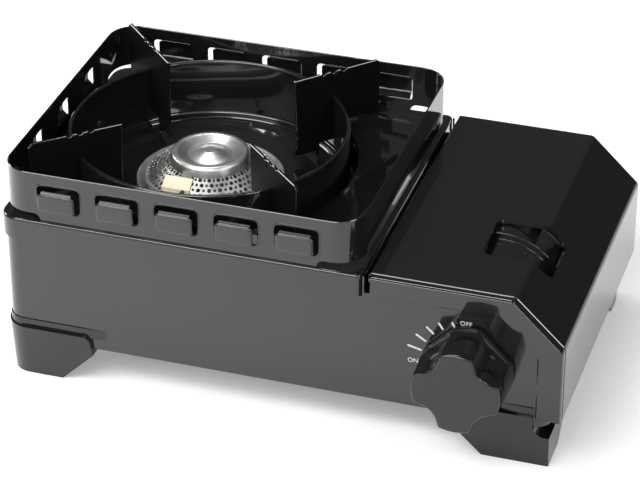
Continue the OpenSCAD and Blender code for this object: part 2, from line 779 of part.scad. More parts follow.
module regulator_screws() {
  color(steel) for (a = [45:90:315]) translate([knob_x, valve_y + 12, knob_z + 24.6]) rotate(a)
    translate([head_r - 0.8, 0, 0]) difference() {
      cylinder(r = 1.9, h = 1.3);
      translate([-1.5, -0.3, 0.8]) cube([3, 0.6, 1]);
    }
}

socket_y = valve_y + 31;

module inlet_socket() {
  color(brass) difference() {
    union() {
      rod_y([can_x, valve_y + 22, can_z], 8, 14);
      rod_y([can_x, valve_y + 30.1, can_z], 11, 3);
    }
    rod_y([can_x, valve_y + 30, can_z], 5, 10);
    rod_y([can_x, valve_y + 28, can_z], 3.6, 3);
    rod_y([can_x, valve_y + 21, can_z], 1.2, 8);
  }
}

module inlet_seal() {
  color("#202020") translate([can_x, valve_y + 28, can_z]) rotate([-90, 0, 0]) difference() {
    cylinder(r = 3.5, h = 1.9);
    translate([0, 0, -1]) cylinder(r = 1.6, h = 4);
  }
}

// Two-step round housing round the socket; its mouth takes the can's shoulder.
house_y = socket_y + 2.2;

module magnet_housing() {
  color("#141418") translate([can_x, house_y, can_z]) rotate([-90, 0, 0]) difference() {
    union() {
      cylinder(r = 29, h = 18);
      translate([0, 0, 17]) cylinder(r = 32.4, h = 17);
    }
    translate([0, 0, 3]) cylinder(r = 27.4, h = 15.1);
    translate([0, 0, 18]) cylinder(r = 31.2, h = 20);
    translate([0, 0, -1]) cylinder(r = 8.3, h = 10);
    // flat belly over the base plate
    translate([-50, can_z - base_z - sheet - 0.4, -5]) cube([100, 40, 60]);
    // open at the foot for drainage and for the can's notch
    translate([-8, 20, -5]) cube([16, 40, 60]);
  }
}

module magnets() {
  color("#5c5f63") for (x = [-19, 19]) rod_y([can_x + x, house_y + 3, can_z], 5, 4);
}

// Cam outline: a straight rise over the knob's turn, its low point towards the plunger at rest.
function cam_radius(p) = cam_low + cam_rise*min(1, p/knob_turn);

module valve_spindle() {
  steps = 16;
  color(brass) {
    rod_y([knob_x, cam_y + 1.4, knob_z], spindle_r, valve_y + 12 - cam_y);
    difference() {
      rod_y([knob_x, y_panel - 16, knob_z], shaft_r, cam_y - y_panel + 18);
      translate([knob_x - 5, y_panel - 17, knob_z + 1.8]) cube([10, 14, 5]);
    }
    xz(cam_y - 1.5, cam_y + 1.5) translate([knob_x, knob_z]) polygon([
      for (k = [-2:steps]) let (p = knob_turn*max(0, k)/steps, a = 180 - knob_turn*k/steps)
        cam_radius(p)*[cos(a), sin(a)],
      [0, -spindle_r], [-cam_low*0.7, -cam_low*0.7]]);
  }
}

module knob() {
  base_t = 4.4;
  y0 = y_panel - 0.8;
  face = y_panel - knob_len;
  grip = y0 - base_t - face;
  color(black) difference() {
    union() {
      rod_y([knob_x, y0 - base_t, knob_z], knob_r, base_t);
      difference() {
        translate([knob_x, y0 - base_t + eps, knob_z]) rotate([90, 0, 0]) rotate_extrude() {
          polygon([[0, 0], [knob_r, 0], [knob_r - 0.9, grip - 1.1], [knob_r - 2.1, grip], [0, grip]]);
          translate([knob_r - 2.1, grip - 1.2]) circle(1.2);
        }
        for (a = [45:90:315]) rod_y([knob_x + 31.5*cos(a), face - 1, knob_z + 31.5*sin(a)], 14, grip + 1);
      }
    }
    // bore for the shaft, with its flat
    difference() {
      rod_y([knob_x, y_panel - 17, knob_z], shaft_r + 0.03, 20);
      translate([knob_x - 5, y_panel - 18, knob_z + 1.83]) cube([10, 14, 5]);
    }
    // hollow back
    translate([knob_x, y0 + 1, knob_z]) rotate([90, 0, 0]) difference() {
      cylinder(r = knob_r - 8.6, h = 12);
      translate([0, 0, -1]) cylinder(r = 6, h = 20);
    }
  }
}

// ---- can bay ----

module divider() {
  z0 = base_z + sheet;
  top = hinge_z - 10.6;
  tube_y = burner_y + (wall_x - burner_x)*tan(tube_turn);
  color(steel) difference() {
    union() {
      translate([wall_x, y_panel + 2, z0]) cube([sheet, shell_y1 - y_panel - 4, top - z0]);
      translate([wall_x - 9, y_panel + 2, z0]) cube([9 + eps, shell_y1 - y_panel - 4, sheet]);
    }
    rod_x([wall_x - 4, tube_y, tube_z], 14, 8);
    // the heat panel runs through
    translate([wall_x - 10, panel_y - 2, z0 - 1]) cube([14, panel_w + 4, 5]);
    rod_x([wall_x - 4, y_panel + 6, knob_z + 3], 3, 8);
  }
}

module can_cradle() {
  gap = 0.35;
  r = can_r + gap;
  color(steel) xz(y_panel + 76, shell_y1 - 3) translate([can_x, can_z]) {
    intersection() {
      difference() {
        circle(r + 1);
        circle(r);
      }
      // open in the middle, where the can's belly sits in the base plate
      for (s = [0, 1]) mirror([s, 0]) polygon([[0, 0], [13, -30], [13, -90], [60, -90], [60, -52]]);
    }
    // side flanges and legs down to the base plate
    for (s = [0, 1]) mirror([s, 0]) {
      translate([(r + 0.5)*cos(40.9) - 0.3, -(r + 1)*sin(40.9) - 0.4]) square([7, 1]);
      translate([(r + 0.5)*cos(40.9) + 5.7, base_z + sheet - can_z])
        square([1, can_z - base_z - sheet - (r + 1)*sin(40.9)]);
    }
  }
}

panel_y = y_panel + 95;
panel_w = 30;

// Carries a little of the burner's warmth to the can; its end meets the cradle's leg.
module heat_panel() {
  z0 = base_z + sheet;
  x0 = burner_x + 30;
  leg = can_x - (can_r + 0.85)*cos(40.9) - 6.7;
  color("#a9adb2") {
    translate([x0, panel_y, z0]) cube([leg - x0, panel_w, 1.6]);
    translate([x0, panel_y, z0]) cube([1.6, panel_w, 36]);
    translate([x0 - 10, panel_y, z0 + 34.4]) cube([11, panel_w, 1.6]);
  }
}

// ---- can cover ----

// Path of the cover's sheet in section, moved in by a step.
function cover_path(s) = [
  [lid_x + sheet/2 + s, lid_top - 3.2], [lid_x + sheet/2 + s, lid_top - sheet/2 - s],
  [slope_x - 0.4*s - 0.16, lid_top - sheet/2 - s], [x_right - sheet/2 - s, slope_z - 0.4*s - 0.16],
  [x_right - sheet/2 - s, cover_foot]];

module cover_area(s) {
  p = cover_path(s);
  polygon([[p[1].x, cover_foot], p[1], p[2], p[3], p[4]]);
}

arch_x = shell_right - 6.6;
arch_top = lid_top - 10.6;

// Arch in the front flange, its corners rounded.
module arch_hole() {
  r = 4;
  p = [[lid_x - 20, arch_top], [slope_x - 6.2, arch_top], [arch_x, arch_top - 18.6], [arch_x, 0]];
  difference() {
    polygon(concat([[lid_x - 20, 0]], p));
    for (i = [1, 2]) corner_fill(p[i-1], p[i], p[i+1], r);
  }
}

// What a round of radius r leaves of the corner at b.
module corner_fill(a, b, c, r) {
  cut = r*tan(abs(turn(a, b, c))/2);
  start = b - cut*(b - a)/norm(b - a);
  end = b + cut*(c - b)/norm(c - b);
  n = [(b - a).y, -(b - a).x]/norm(b - a);
  difference() {
    polygon([start, b + (b - start)*0.01, end]);
    translate(start + r*n) circle(r);
  }
}

module cover_border() {
  step = 0.3;
  color(black) {
    xz(tray_y, tray_y + border) strip(cover_path(step), [0, 1.2, 3, 3, 0], sheet);
    xz(tray_y, tray_y + sheet) difference() {
      cover_area(step + 0.4);
      arch_hole();
    }
  }
}

module can_cover() {
  color(black) difference() {
    union() {
      xz(tray_y + border - 0.3, y_back - 0.4) strip(cover_path(0), [0, 1.2, 3, 3, 0], sheet);
      cover_border();
      // back wall with the gap for the can
      xz(y_back - 1.2, y_back - 0.4) difference() {
        cover_area(0);
        translate([can_x, can_z]) circle(can_r + 2.6);
        translate([lid_x - 1, 0]) square([can_x - lid_x + 1, can_z + 16]);
        translate([lid_x - 1, 0]) square([body_w, cover_foot + 8]);
      }
      // hinge ears
      for (y = ear_spots) xz(y, y + 2.5) {
        translate([hinge_x, hinge_z]) circle(3.8);
        translate([hinge_x - 3.8, hinge_z]) square([7.6, lid_top - sheet/2 - hinge_z]);
      }
      window_lip();
    }
    translate([0, 0, slope_z]) linear_extrude(40) window_plan(0);
    for (y = ear_spots) rod_y([hinge_x, y - 1, hinge_z], hinge_r + hinge_gap, 5);
  }
}

window_x = lid_x + 46;
window_y = y_panel + 35;

module window_plan(grow) {
  rounded(window_x - grow, window_x + 34.8 + grow, window_y - grow, window_y + window_d + grow, 5 + grow);
}

// Turned-down lip round the window, led along the bend.
module window_lip() {
  intersection() {
    xz(window_y - 5, window_y + window_d + 5) strip(cover_path(0.6), [0, 1.2, 3, 3, 0], 1.8);
    translate([0, 0, slope_z]) linear_extrude(lid_top - slope_z - sheet/2) window_plan(sheet);
  }
}

ear_spots = [y_panel + 9, shell_y1 - 20];

module hinge_brackets() {
  color(steel) for (y = ear_spots) difference() {
    union() {
      xz(y + 2.9, y + 4.4) {
        translate([hinge_x, hinge_z]) circle(3.2);
        translate([wall_x + 1.5, hinge_z - 26]) square([7, 26]);
      }
      translate([wall_x + sheet, y + 2.9, hinge_z - 26]) cube([1.2, 12, 16]);
    }
    rod_y([hinge_x, y, hinge_z], hinge_r, 6);
  }
}

module hinge_pins() {
  color(steel) for (y = ear_spots) {
    rod_y([hinge_x, y - 0.6, hinge_z], hinge_r, 6);
    rod_y([hinge_x, y - 1.5, hinge_z], 3, 1.1);
  }
}

module lid_catch() {
  x = shell_right;
  y = y_panel + 14;
  color(steel) xz(y, y + 8) strip([[x + 0.4, foot_h + 11.6], [x + 0.4, foot_h + 16], [x + 4, foot_h + 19.5],
    [x + 1.4, foot_h + 23]], [0, 1, 1, 0], 0.8);
}

case_shell();
base_plate();
tray();
windshield();
windshield_rivets();
trivet_ring();
fin_front_left();
fin_front_right();
fin_back_left();
fin_back_right();
burner_bowl();
flame_ring();
burner_cap();
burner_collar();
mixing_tube();
gas_nozzle();
electrode_block();
electrode_rod();
electrode_bracket();
igniter_wire();
piezo_body();
igniter_plunger();
regulator_body();
diaphragm_cover();
inlet_socket();
inlet_seal();
magnet_housing();
magnets();
valve_spindle();
knob();
divider();
can_cradle();
heat_panel();
can_cover();
hinge_brackets();
hinge_pins();
lid_catch();
foot_front_left();
foot_front_right();
foot_back_left();
foot_back_right();
foot_screws();
tray_screws();
regulator_screws();
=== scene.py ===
import json
import math

import bmesh
import bpy
import numpy as np
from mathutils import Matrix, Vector

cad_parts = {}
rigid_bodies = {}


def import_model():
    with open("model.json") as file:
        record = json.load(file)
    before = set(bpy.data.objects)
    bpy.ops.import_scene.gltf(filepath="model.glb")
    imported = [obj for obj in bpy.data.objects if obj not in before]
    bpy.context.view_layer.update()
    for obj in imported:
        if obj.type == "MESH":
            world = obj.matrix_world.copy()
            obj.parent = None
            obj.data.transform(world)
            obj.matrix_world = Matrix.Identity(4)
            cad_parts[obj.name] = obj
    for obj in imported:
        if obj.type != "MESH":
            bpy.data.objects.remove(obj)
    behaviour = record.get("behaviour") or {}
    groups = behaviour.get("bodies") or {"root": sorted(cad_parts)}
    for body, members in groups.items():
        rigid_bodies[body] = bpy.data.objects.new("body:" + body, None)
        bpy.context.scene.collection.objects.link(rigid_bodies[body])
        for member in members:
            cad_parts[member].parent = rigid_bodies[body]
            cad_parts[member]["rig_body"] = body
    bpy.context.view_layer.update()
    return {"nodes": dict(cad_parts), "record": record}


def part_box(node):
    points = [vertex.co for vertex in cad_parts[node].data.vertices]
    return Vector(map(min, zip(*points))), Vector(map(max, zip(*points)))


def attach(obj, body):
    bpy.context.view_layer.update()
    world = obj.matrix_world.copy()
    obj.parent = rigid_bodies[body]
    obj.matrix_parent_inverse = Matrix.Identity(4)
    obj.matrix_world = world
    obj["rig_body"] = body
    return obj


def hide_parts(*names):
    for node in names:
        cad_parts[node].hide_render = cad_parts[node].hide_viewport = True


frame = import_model()
scene = bpy.context.scene
mm = 0.001


# sRGB hex to linear, with alpha
def linearHex(text, alpha=1.0):
    parts = [int(text[i:i + 2], 16) / 255 for i in (1, 3, 5)]
    return [c / 12.92 if c <= 0.04045 else ((c + 0.055) / 1.055) ** 2.4 for c in parts] + [alpha]


# one shader node: a socket is linked, any other value is set
def addNode(tree, kind, inputs=None, **settings):
    node = tree.nodes.new("ShaderNode" + kind)
    for key, value in settings.items():
        setattr(node, key, value)
    for key, value in (inputs or {}).items():
        if isinstance(value, bpy.types.NodeSocket):
            tree.links.new(value, node.inputs[key])
        else:
            node.inputs[key].default_value = value
    return node


# a material with its Principled shader's constants set on the sockets
def surface(name, colour, roughness, **sockets):
    material = bpy.data.materials.new(name)
    material.use_nodes = True
    tree = material.node_tree
    shader = tree.nodes["Principled BSDF"]
    shader.inputs["Base Color"].default_value = linearHex(colour)
    shader.inputs["Roughness"].default_value = roughness
    for key, value in sockets.items():
        shader.inputs[key.replace("_", " ")].default_value = value
    return material, tree, shader


view = dict(azimuth=17.61, elevation=31.38, distance=1426.78 * mm, lens=156.13,
            target=(-7.23 * mm, 26.4 * mm, 44 * mm))


def placeCamera():
    az, el = math.radians(view["azimuth"]), math.radians(view["elevation"])
    back = Vector((math.sin(az) * math.cos(el), -math.cos(az) * math.cos(el), math.sin(el)))
    data = bpy.data.cameras.new("viewCamera")
    data.lens = view["lens"]
    data.sensor_width = 36
    data.clip_start, data.clip_end = 0.05, 20
    camera = bpy.data.objects.new("viewCamera", data)
    scene.collection.objects.link(camera)
    camera.location = Vector(view["target"]) + view["distance"] * back
    camera.rotation_mode = "QUATERNION"
    camera.rotation_quaternion = (-back).to_track_quat("-Z", "Y")
    scene.camera = camera


placeCamera()
scene.view_settings.view_transform = "Standard"
print("stage: camera")


# The upper studio is dark, so that flat black tops stay black; the floor is white paper.
# lift is the paper's own light for the camera and for mirrored rays, fade where it goes out (m along x)
room = dict(floorHalf=6.0, paper="#f4f4f2", lift=0.22, fade=(-0.10, 0.25), frontWall=1.2,
            glowY=(-0.3, -0.7), glowZ=(0.1, 0.3),
            sky=[(0.0, 0.9), (0.07, 0.8), (0.14, 0.03), (0.45, 0.09), (1.0, 0.10)])


def makeRoom():
    world = bpy.data.worlds.new("studio")
    scene.world = world
    world.use_nodes = True
    tree = world.node_tree
    tree.nodes.clear()
    place = addNode(tree, "TexCoord")
    split = addNode(tree, "SeparateXYZ", {"Vector": place.outputs["Generated"]})
    ramp = addNode(tree, "ValToRGB", {"Fac": split.outputs["Z"]})
    stops = ramp.color_ramp.elements
    while len(stops) < len(room["sky"]):
        stops.new(0.5)
    for stop, (height, level) in zip(stops, room["sky"]):
        stop.position = height
        stop.color = [level, level, level, 1]
    # a soft glow in front of the part and above the floor, between these shares of Y and Z
    towardsFront = addNode(tree, "MapRange", {"Value": split.outputs["Y"],
                                              "From Min": room["glowY"][0], "From Max": room["glowY"][1]})
    aboveFloor = addNode(tree, "MapRange", {"Value": split.outputs["Z"],
                                            "From Min": room["glowZ"][0], "From Max": room["glowZ"][1]})
    both = addNode(tree, "Math", {0: towardsFront.outputs[0], 1: aboveFloor.outputs[0]},
                   operation="MULTIPLY")
    level = addNode(tree, "Mix", {"Factor": both.outputs[0], "A": ramp.outputs["Color"],
                                  "B": [room["frontWall"]] * 3 + [1]}, data_type="RGBA")
    soft = addNode(tree, "Background", {"Color": level.outputs["Result"], "Strength": 1.0})
    addNode(tree, "OutputWorld", {"Surface": soft.outputs[0]})

    half = room["floorHalf"]
    mesh = bpy.data.meshes.new("floor")
    corners = [(-half, -half, 0), (half, -half, 0), (half, half, 0), (-half, half, 0)]
    mesh.from_pydata(corners, [], [(0, 1, 2, 3)])
    floor = bpy.data.objects.new("floor", mesh)
    scene.collection.objects.link(floor)
    material = bpy.data.materials.new("palePaperFloor")
    material.use_nodes = True
    tree = material.node_tree
    tree.nodes.clear()
    path = addNode(tree, "LightPath")
    matt = addNode(tree, "BsdfDiffuse", {"Color": linearHex(room["paper"])})
    seen = addNode(tree, "Math", {0: path.outputs["Is Camera Ray"], 1: path.outputs["Is Glossy Ray"]},
                   operation="MAXIMUM")
    seen = addNode(tree, "Math", {0: seen.outputs[0], 1: path.outputs["Is Transmission Ray"]},
                   operation="MAXIMUM")
    # towards the right the lift fades for mirrored rays, so that the glossy front darkens that way
    place = addNode(tree, "TexCoord")
    along = addNode(tree, "SeparateXYZ", {"Vector": place.outputs["Object"]})
    fade = addNode(tree, "MapRange", {"Value": along.outputs["X"], "From Min": room["fade"][0],
                                      "From Max": room["fade"][1]})
    faded = addNode(tree, "Math", {0: fade.outputs[0], 1: path.outputs["Is Glossy Ray"]},
                    operation="MULTIPLY")
    kept = addNode(tree, "Math", {0: seen.outputs[0], 1: faded.outputs[0]}, operation="SUBTRACT")
    level = addNode(tree, "Math", {0: kept.outputs[0], 1: room["lift"]}, operation="MULTIPLY")
    glow = addNode(tree, "Emission", {"Color": (1, 1, 1, 1), "Strength": level.outputs[0]})
    both = addNode(tree, "AddShader", {0: matt.outputs[0], 1: glow.outputs[0]})
    addNode(tree, "OutputMaterial", {"Surface": both.outputs[0]})
    mesh.materials.append(material)


# A softbox each: size and place in m, and level its brightness, with white paper in full light at 1.
# frontBox and the three small boxes stand where 45 degree edges mirror them. leftBox lights and is not mirrored
lamps = [
    dict(name="overheadStrip", at=(-0.38, 0.42, 1.35), size=(0.80, 0.18), level=11.0,
         aim=(-0.05, 0.05, 0.05)),
    dict(name="frontBox", at=(-0.28, -0.70, 1.06), size=(1.00, 0.42), level=7.0,
         aim=(-0.03, -0.04, 0.08)),
    dict(name="rightFrontBox", at=(1.02, -0.78, 0.66), size=(0.30, 0.26), level=10.0,
         aim=(0.12, -0.05, 0.06)),
    dict(name="leftBox", at=(-0.72, -0.45, 0.50), size=(0.50, 0.40), level=4.0,
         aim=(-0.25, -0.20, 0.0), mirrored=False),
    dict(name="rightHighBox", at=(0.78, -0.10, 1.06), size=(0.34, 0.34), level=7.0,
         aim=(-0.05, 0.01, 0.1)),
    dict(name="leftLowBox", at=(-1.20, 0.22, 0.56), size=(0.40, 0.34), level=9.0,
         aim=(-0.05, 0.01, 0.1)),
]


def makeLamps():
    for lamp in lamps:
        data = bpy.data.lights.new(lamp["name"], "AREA")
        data.shape = "RECTANGLE"
        data.size, data.size_y = lamp["size"]
        data.energy = lamp["level"] * math.pi * data.size * data.size_y
        thing = bpy.data.objects.new(lamp["name"], data)
        scene.collection.objects.link(thing)
        thing.location = lamp["at"]
        thing.rotation_mode = "QUATERNION"
        thing.rotation_quaternion = (Vector(lamp["aim"]) - thing.location).to_track_quat("-Z", "Y")
        thing.visible_glossy = lamp.get("mirrored", True)


makeRoom()
makeLamps()
print("stage: room and lamps")


# Stoving enamel on pressed steel: a sprayed black coat under a clear one; the eye sees
# sharp reflections that waver slightly over the sheet
def stovingEnamel():
    material, tree, shader = surface("stovingEnamelBlack", "#151515", 0.10, IOR=1.48, Coat_Weight=1.0,
                                     Coat_IOR=1.42, Coat_Roughness=0.03)
    place = addNode(tree, "TexCoord").outputs["Object"]
    sheet = addNode(tree, "TexNoise", {"Vector": place, "Scale": 1 / 0.045, "Detail": 1.0})
    peel = addNode(tree, "TexNoise", {"Vector": place, "Scale": 1 / 0.0016, "Detail": 1.0})
    wave = addNode(tree, "Bump", {"Height": sheet.outputs["Fac"], "Strength": 0.06, "Distance": 0.002})
    fine = addNode(tree, "Bump", {"Height": peel.outputs["Fac"], "Strength": 0.03, "Distance": 0.0002,
                                  "Normal": wave.outputs["Normal"]})
    tree.links.new(fine.outputs["Normal"], shader.inputs["Normal"])
    tree.links.new(fine.outputs["Normal"], shader.inputs["Coat Normal"])
    return material


# Vitreous enamel on the trivet's plates: fired thicker and rougher than the body's, so it mirrors little
def trivetEnamel():
    material, tree, shader = surface("vitreousEnamelBlack", "#0c0c0e", 0.45, IOR=1.45,
                                     Specular_IOR_Level=0.1)
    place = addNode(tree, "TexCoord").outputs["Object"]
    peel = addNode(tree, "TexNoise", {"Vector": place, "Scale": 1 / 0.0022, "Detail": 2.0})
    spread = addNode(tree, "MapRange", {"Value": peel.outputs["Fac"], "To Min": 0.38, "To Max": 0.52})
    bump = addNode(tree, "Bump", {"Height": peel.outputs["Fac"], "Strength": 0.12, "Distance": 0.0003})
    tree.links.new(spread.outputs["Result"], shader.inputs["Roughness"])
    tree.links.new(bump.outputs["Normal"], shader.inputs["Normal"])
    return material


# Moulded ABS: black granulate, polished mould, with a faint flow texture
def mouldedAbs():
    material, tree, shader = surface("mouldedAbsBlack", "#101011", 0.16, IOR=1.46, Coat_Weight=0.5,
                                     Coat_IOR=1.45, Coat_Roughness=0.06)
    place = addNode(tree, "TexCoord").outputs["Object"]
    flow = addNode(tree, "TexNoise", {"Vector": place, "Scale": 1 / 0.006, "Detail": 2.0})
    bump = addNode(tree, "Bump", {"Height": flow.outputs["Fac"], "Strength": 0.05, "Distance": 0.0005})
    tree.links.new(bump.outputs["Normal"], shader.inputs["Normal"])
    return material


# Any metal part: colour, roughness and how far roughness wanders over a patch of that size
def metal(name, colour, roughness, patch, wander):
    material, tree, shader = surface(name, colour, roughness, Metallic=1.0)
    place = addNode(tree, "TexCoord").outputs["Object"]
    cloud = addNode(tree, "TexNoise", {"Vector": place, "Scale": 1 / patch, "Detail": 3.0})
    spread = addNode(tree, "MapRange", {"Value": cloud.outputs["Fac"], "From Min": 0.3, "From Max": 0.7,
                                        "To Min": roughness - wander, "To Max": roughness + wander})
    tree.links.new(spread.outputs["Result"], shader.inputs["Roughness"])
    return material


# Any small non-metal part: two near colours in patches of that size, and a bump of the same grain
def clouded(name, colour, other, roughness, patch, depth, **sockets):
    material, tree, shader = surface(name, colour, roughness, **sockets)
    place = addNode(tree, "TexCoord").outputs["Object"]
    cloud = addNode(tree, "TexNoise", {"Vector": place, "Scale": 1 / patch, "Detail": 3.0})
    mix = addNode(tree, "Mix", {"Factor": cloud.outputs["Fac"], "A": linearHex(colour),
                                "B": linearHex(other)}, data_type="RGBA")
    bump = addNode(tree, "Bump", {"Height": cloud.outputs["Fac"], "Strength": depth,
                                  "Distance": patch * 0.2})
    tree.links.new(mix.outputs["Result"], shader.inputs["Base Color"])
    tree.links.new(bump.outputs["Normal"], shader.inputs["Normal"])
    return material


finish = {
    "enamel": stovingEnamel(),
    "foot_plastic": mouldedAbs(),
    # perforated and pressed sheet, washed but not polished: soft streaks of light
    "stainless": metal("pressedStainless", "#d6d6d3", 0.38, 0.004, 0.06),
    # deep-drawn sheet: brighter, with a wide soft gleam on each bend
    "cap_steel": metal("drawnStainless", "#dededc", 0.36, 0.006, 0.05),
    # zinc plate: cool grey with a faint cloudiness
    "zinc_steel": metal("zincPlatedSteel", "#b9bcc0", 0.34, 0.003, 0.08),
    # as cast and tumbled: dull grey, no clear mirror image
    "cast_alloy": metal("dieCastAlloy", "#a6a8aa", 0.5, 0.002, 0.1),
    # turned on a lathe: warm and fairly bright
    "brass": metal("turnedBrass", "#c9a45c", 0.25, 0.003, 0.06),
    # mill-finished sheet: pale, with a satin gleam
    "heat_alloy": metal("rolledAluminium", "#c4c6c8", 0.3, 0.005, 0.06),
    # pressed and fired: cream, with a thin glaze's soft shine
    "ceramic": clouded("glazedSteatite", "#efe6cb", "#e2d5b2", 0.38, 0.0025, 0.10, IOR=1.55),
    # extruded sleeve: dark grey, waxy
    "wire": clouded("siliconeSleeve", "#262627", "#313132", 0.45, 0.002, 0.05, IOR=1.42),
    # moulded rubber: black and matt
    "seal": clouded("nitrileRubber", "#1c1c1c", "#252525", 0.6, 0.001, 0.2, IOR=1.52),
    # sintered and ground: charcoal grain with a faint stony shine
    "magnet": clouded("sinteredFerrite", "#3c3d40", "#4a4b4e", 0.55, 0.0008, 0.3, IOR=1.9),
    # moulded nylon: dark grey satin
    "piezo_plastic": clouded("mouldedNylonGrey", "#34373b", "#3d4045", 0.5, 0.004, 0.08, IOR=1.53),
    # moulded acetal: milky, slightly shiny
    "plunger_plastic": clouded("mouldedAcetal", "#c9c9c4", "#d4d4cf", 0.4, 0.004, 0.05, IOR=1.48),
    # screen-printed ink: matt white, the only pale mark on the panel
    "print": clouded("screenPrintedInk", "#dededc", "#cfcfcd", 0.6, 0.0012, 0.1, IOR=1.5),
    "trivetEnamel": trivetEnamel(),
}
finish["knob_plastic"] = finish["foot_plastic"]
slotOf = {s["node"]: s["material_slot"] for s in frame["record"]["subparts"]}
print("stage: finishes")


# Fins are a coarser enamel than the sheet-metal body, apart from their edges
def finishOf(name):
    return finish["trivetEnamel"] if name.startswith("fin_") else finish[slotOf[name]]


# Radius in mm to which each node's edges are broken, so that they catch the light
edgeRadius = {
    "case_shell": 0.15, "tray": 0.35, "windshield": 0.1, "trivet_ring": 0.1, "fin_front_left": 0.35,
    "fin_front_right": 0.35, "fin_back_left": 0.35, "fin_back_right": 0.35, "can_cover": 0.2,
    "foot_front_left": 0.6, "foot_front_right": 0.6, "foot_back_left": 0.6, "foot_back_right": 0.6,
    "magnet_housing": 0.4,
}

# Chamfers wide enough to be seen: lowest and highest corner of the stretch in mm, the way that one face of
# each edge looks while the other stands square to it, and the chamfer's leg in mm
coverBox = [[c / mm for c in corner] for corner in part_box("can_cover")]
coverLeft, coverFront, coverRight = coverBox[0][0], coverBox[0][1], coverBox[1][0]
coverFoot, coverTop, borderWidth = 26, 95, 3.7
anywhere = 200  # beyond the part on every side
upAndOut, downAndIn, up = (0.7, 0, 0.7), (-0.7, 0, -0.7), (0, 0, 1)


# The part of the cover's front that lies this far behind its foremost face
def coverStretch(depth):
    return [coverLeft, coverFront + depth, coverFoot], [coverRight, coverFront + depth, coverTop]


wideEdges = {
    "windshield": [([-anywhere, -anywhere, 100], [anywhere, anywhere, anywhere], up, 0.25)],
    "trivet_ring": [([-anywhere, -anywhere, 60], [anywhere, anywhere, anywhere], up, 0.35)],
    "can_cover": [(*coverStretch(0), upAndOut, 0.8), (*coverStretch(borderWidth), upAndOut, 0.28),
                  (*coverStretch(0), downAndIn, 0.6)],
}
softening = dict(merge=2e-6, flatDegrees=0.3, edgeDegrees=25, chamferDegrees=60, slack=0.01, shortest=0.02,
                 facing=0.25, square=0.05)


# Chamfers the edges of a stretch, where a face that looks the given way meets one that stands square to it
def chamfer(shape, low, high, way, leg):
    slack, way = softening["slack"], Vector(way)
    inside = {v for v in shape.verts
              if all(low[i] - slack <= v.co[i] / mm <= high[i] + slack for i in range(3))}
    chosen = [e for e in shape.edges if e.verts[0] in inside and e.verts[1] in inside and e.is_manifold
              and e.is_convex and e.calc_face_angle(0) > math.radians(softening["edgeDegrees"])
              and any(f.normal.dot(way) > softening["facing"] for f in e.link_faces)
              and any(abs(f.normal.dot(way)) < softening["square"] for f in e.link_faces)
              and e.calc_length() > softening["shortest"] * mm]
    bmesh.ops.bevel(shape, geom=chosen, offset=leg * mm, segments=1, profile=0.5, affect="EDGES",
                    clamp_overlap=False)


# A merged copy takes the node's place: its wide chamfers are cut first, then a modifier breaks the edges.
# A fin's broken edges are flat and glossy
def softened(name, radius, wide):
    source = frame["nodes"][name]
    mesh = source.data.copy()
    shape = bmesh.new()
    shape.from_mesh(mesh)
    bmesh.ops.remove_doubles(shape, verts=shape.verts, dist=softening["merge"])
    bmesh.ops.dissolve_limit(shape, angle_limit=math.radians(softening["flatDegrees"]), verts=shape.verts,
                             edges=shape.edges)
    shape.normal_update()
    for stretch in wide:
        chamfer(shape, *stretch)
    shape.to_mesh(mesh)
    shape.free()
    isFin = name.startswith("fin_")
    mesh.materials.clear()
    mesh.materials.append(finishOf(name))
    mesh.polygons.foreach_set("use_smooth", [True] * len(mesh.polygons))
    mesh.set_sharp_from_angle(angle=math.radians(softening["edgeDegrees"]))
    piece = bpy.data.objects.new(name + "_soft", mesh)
    scene.collection.objects.link(piece)
    bevel = piece.modifiers.new("edges", "BEVEL")
    bevel.width = radius * mm
    bevel.segments = 1 if isFin else 2
    bevel.limit_method = "ANGLE"
    bevel.angle_limit = math.radians(softening["chamferDegrees" if wide else "edgeDegrees"])
    bevel.harden_normals = not isFin
    bevel.use_clamp_overlap = True
    if wide:
        flats = piece.modifiers.new("flats", "WEIGHTED_NORMAL")
        flats.keep_sharp = True
    if isFin:
        mesh.materials.append(finish["enamel"])
        bevel.material = 1
        mesh.polygons.foreach_set("use_smooth", [False] * len(mesh.polygons))
    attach(piece, source["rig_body"])
    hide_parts(name)


def dressNodes():
    for name, node in frame["nodes"].items():
        node.data.materials.clear()
        node.data.materials.append(finishOf(name))
        node.data.polygons.foreach_set("use_smooth", [True] * len(node.data.polygons))
    for name, radius in edgeRadius.items():
        softened(name, radius, wideEdges.get(name, ()))


dressNodes()
print("stage: nodes dressed")


# A closed mesh has its doubled points merged and its faces turned outwards
def closeMesh(mesh, reach):
    shape = bmesh.new()
    shape.from_mesh(mesh)
    bmesh.ops.remove_doubles(shape, verts=shape.verts, dist=reach)
    bmesh.ops.recalc_face_normals(shape, faces=shape.faces)
    shape.to_mesh(mesh)
    shape.free()


# Grid of points made one closed mesh: columns wrap round, rows run on or wrap, and a row whose points are
# one is a pole
def gridPiece(name, points, finishName, body, wrapRows=False, sharp=40):
    rows, columns = points.shape[:2]
    v, u = np.meshgrid(np.arange(rows if wrapRows else rows - 1), np.arange(columns), indexing="ij")
    nextV, nextU = (v + 1) % rows, (u + 1) % columns
    faces = np.stack([v * columns + u, v * columns + nextU, nextV * columns + nextU, nextV * columns + u], -1)
    mesh = bpy.data.meshes.new(name)
    mesh.from_pydata(points.reshape(-1, 3).tolist(), [], faces.reshape(-1, 4).tolist())
    closeMesh(mesh, 1e-7)
    mesh.polygons.foreach_set("use_smooth", [True] * len(mesh.polygons))
    mesh.set_sharp_from_angle(angle=math.radians(sharp))
    mesh.materials.append(finish[finishName])
    piece = bpy.data.objects.new(name, mesh)
    scene.collection.objects.link(piece)
    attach(piece, body)
    return piece


